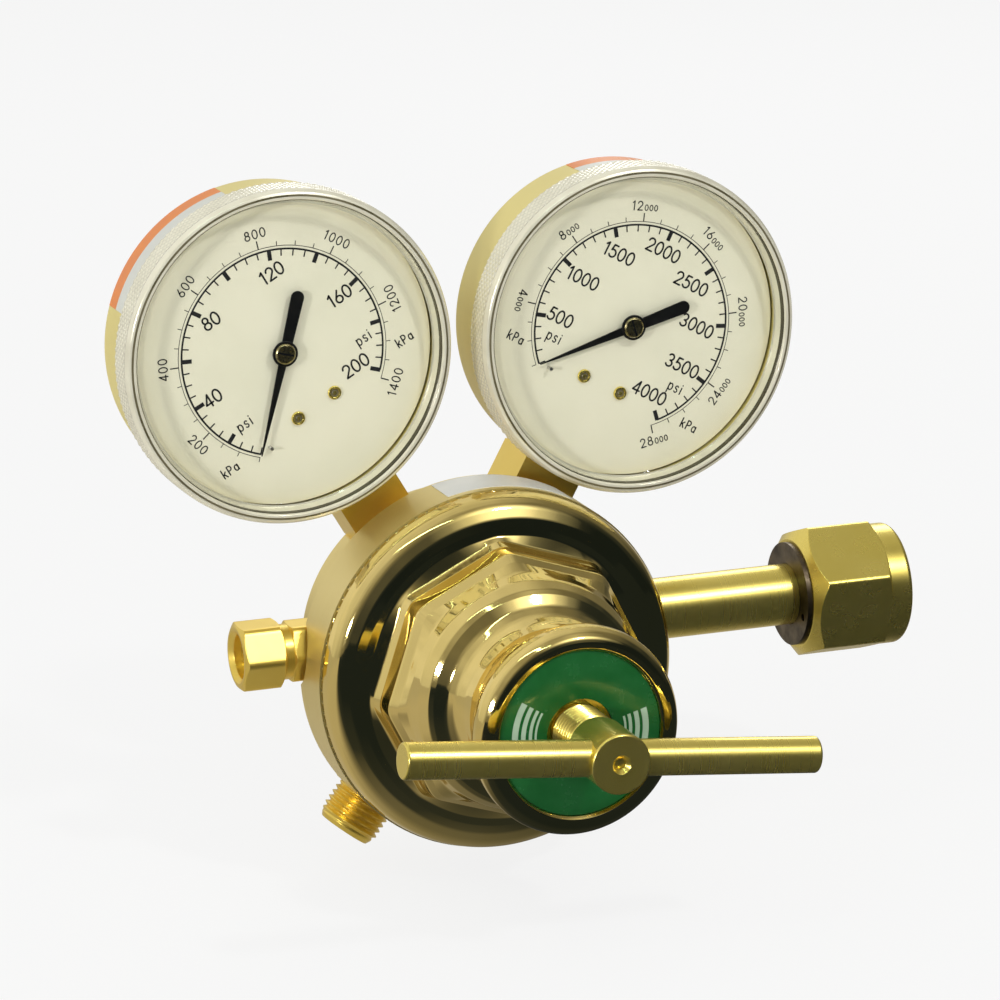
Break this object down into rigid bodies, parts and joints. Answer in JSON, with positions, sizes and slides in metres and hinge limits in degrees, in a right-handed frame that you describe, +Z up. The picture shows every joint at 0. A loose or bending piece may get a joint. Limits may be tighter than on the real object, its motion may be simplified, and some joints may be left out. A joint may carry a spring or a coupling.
{
  "type": "oxygen pressure regulator",
  "caption": "Brass single-stage oxygen pressure regulator with two dial gauges, T-bar adjusting screw, inlet nipple and nut, relief valve and threaded outlet.",
  "frame": {"origin": "centre of the inlet nut's mouth, on the inlet's axis", "axes": "+X out of the inlet nut along the inlet axis, -Y along the adjusting screw towards its T-bar, +Z up towards the gauges"},
  "size_m": [0.1894, 0.1241, 0.154],
  "materials": {
    "satin_brass": "satin turned",
    "polished_brass": "mirror polished",
    "machined_brass": "satin machined",
    "steel": "satin",
    "spring_steel": "satin",
    "dark_steel": "dark oxidised",
    "bronze": "satin drawn tube",
    "bronze_filter": "porous sintered",
    "black_rubber": "matte",
    "gold_paint": "semi-gloss",
    "dial_white": "matte",
    "pointer_black": "matte",
    "clear_plastic": "clear gloss",
    "green_label": "semi-gloss",
    "white_label": "gloss",
    "orange_label": "semi-gloss"
  },
  "bodies": {
    "base": {"regulator_body": "satin_brass", "valve_nozzle": "machined_brass", "valve_plug": "machined_brass", "valve_spring": "spring_steel", "diaphragm": "black_rubber", "slip_ring": "steel", "bonnet_spring": "spring_steel", "bonnet": "polished_brass", "bonnet_label": "green_label", "body_label": "white_label", "inlet_nipple": "machined_brass", "inlet_filter": "bronze_filter", "outlet_fitting": "machined_brass", "relief_housing": "machined_brass", "relief_spring": "spring_steel", "relief_retainer": "machined_brass", "low_socket": "machined_brass", "low_case": "gold_paint", "low_tube": "bronze", "low_hairspring": "spring_steel", "low_movement": "machined_brass", "low_dial": "dial_white", "low_dial_screws": "machined_brass", "low_stop_pin": "steel", "low_lens": "clear_plastic", "low_sticker": "orange_label", "high_socket": "machined_brass", "high_case": "gold_paint", "high_tube": "bronze", "high_hairspring": "spring_steel", "high_movement": "machined_brass", "high_dial": "dial_white", "high_dial_screws": "machined_brass", "high_stop_pin": "steel", "high_lens": "clear_plastic", "high_sticker": "orange_label"},
    "button": {"spring_button": "steel"},
    "screw": {"adjusting_screw": "machined_brass", "t_bar": "machined_brass"},
    "plate": {"diaphragm_plate": "steel", "pusher": "machined_brass"},
    "poppet": {"valve_poppet": "steel"},
    "relief_disc": {"relief_poppet": "steel"},
    "washer": {"nut_washer": "dark_steel"},
    "nut": {"inlet_nut": "machined_brass"},
    "low_hand": {"low_pointer": "pointer_black", "low_pinion": "machined_brass"},
    "low_gear": {"low_sector": "machined_brass"},
    "low_rod": {"low_link": "steel"},
    "high_hand": {"high_pointer": "pointer_black", "high_pinion": "machined_brass"},
    "high_gear": {"high_sector": "machined_brass"},
    "high_rod": {"high_link": "steel"}
  },
  "joints": [
    {"name": "screw_feed", "type": "slide", "parent": "base", "child": "button", "axis": [0, 1, 0], "range_m": [0, 0.008], "deforming": ["bonnet_spring"]},
    {"name": "screw_turn", "type": "hinge", "parent": "button", "child": "screw", "pos_m": [-0.1089, -0.09735, -0.00137], "axis": [0, 1, 0], "range_deg": [0, 2267]},
    {"name": "diaphragm_lift", "type": "slide", "parent": "base", "child": "plate", "axis": [0, 1, 0], "range_m": [0, 0.0008], "stiffness_N_per_m": 2000, "deforming": ["diaphragm"]},
    {"name": "valve_lift", "type": "slide", "parent": "base", "child": "poppet", "axis": [0, 1, 0], "range_m": [0, 0.0008], "deforming": ["valve_spring"]},
    {"name": "relief_lift", "type": "slide", "parent": "base", "child": "relief_disc", "axis": [-1, 0, 0], "range_m": [0, 0.001], "stiffness_N_per_m": 3000, "deforming": ["relief_spring"]},
    {"name": "nut_slide", "type": "slide", "parent": "base", "child": "washer", "axis": [-1, 0, 0], "range_m": [0, 0.03]},
    {"name": "nut_turn", "type": "hinge", "parent": "washer", "child": "nut", "pos_m": [0, 0, 0], "axis": [1, 0, 0], "continuous": true},
    {"name": "low_needle", "type": "hinge", "parent": "base", "child": "low_hand", "pos_m": [-0.15178, 0, 0.07165], "axis": [0, 1, 0], "range_deg": [0, 270], "stiffness_Nm_per_rad": 0.00005, "springref_deg": -34.38, "deforming": ["low_hairspring", "low_tube"]},
    {"name": "low_sector_swing", "type": "hinge", "parent": "base", "child": "low_gear", "pos_m": [-0.14266, 0, 0.05613], "axis": [0, 1, 0], "range_deg": [-33.75, 0]},
    {"name": "low_link_swing", "type": "hinge", "parent": "low_gear", "child": "low_rod", "pos_m": [-0.13887, 0, 0.05214], "axis": [0, 1, 0], "range_deg": [0, 33.75]},
    {"name": "high_needle", "type": "hinge", "parent": "base", "child": "high_hand", "pos_m": [-0.06943, 0, 0.07022], "axis": [0, 1, 0], "range_deg": [0, 270], "stiffness_Nm_per_rad": 0.00005, "springref_deg": -34.38, "deforming": ["high_hairspring", "high_tube"]},
    {"name": "high_sector_swing", "type": "hinge", "parent": "base", "child": "high_gear", "pos_m": [-0.07812, 0, 0.05446], "axis": [0, 1, 0], "range_deg": [-33.75, 0]},
    {"name": "high_link_swing", "type": "hinge", "parent": "high_gear", "child": "high_rod", "pos_m": [-0.07961, 0, 0.04916], "axis": [0, 1, 0], "range_deg": [0, 33.75]}
  ],
  "couplings": [
    {"joint": "screw_feed", "follows": "screw_turn", "m_per_rad": 0.00020213},
    {"joint": "valve_lift", "follows": "diaphragm_lift", "ratio": 1},
    {"joint": "low_sector_swing", "follows": "low_needle", "ratio": -0.125},
    {"joint": "low_link_swing", "follows": "low_needle", "ratio": 0.125},
    {"joint": "high_sector_swing", "follows": "high_needle", "ratio": -0.125},
    {"joint": "high_link_swing", "follows": "high_needle", "ratio": 0.125}
  ]
}
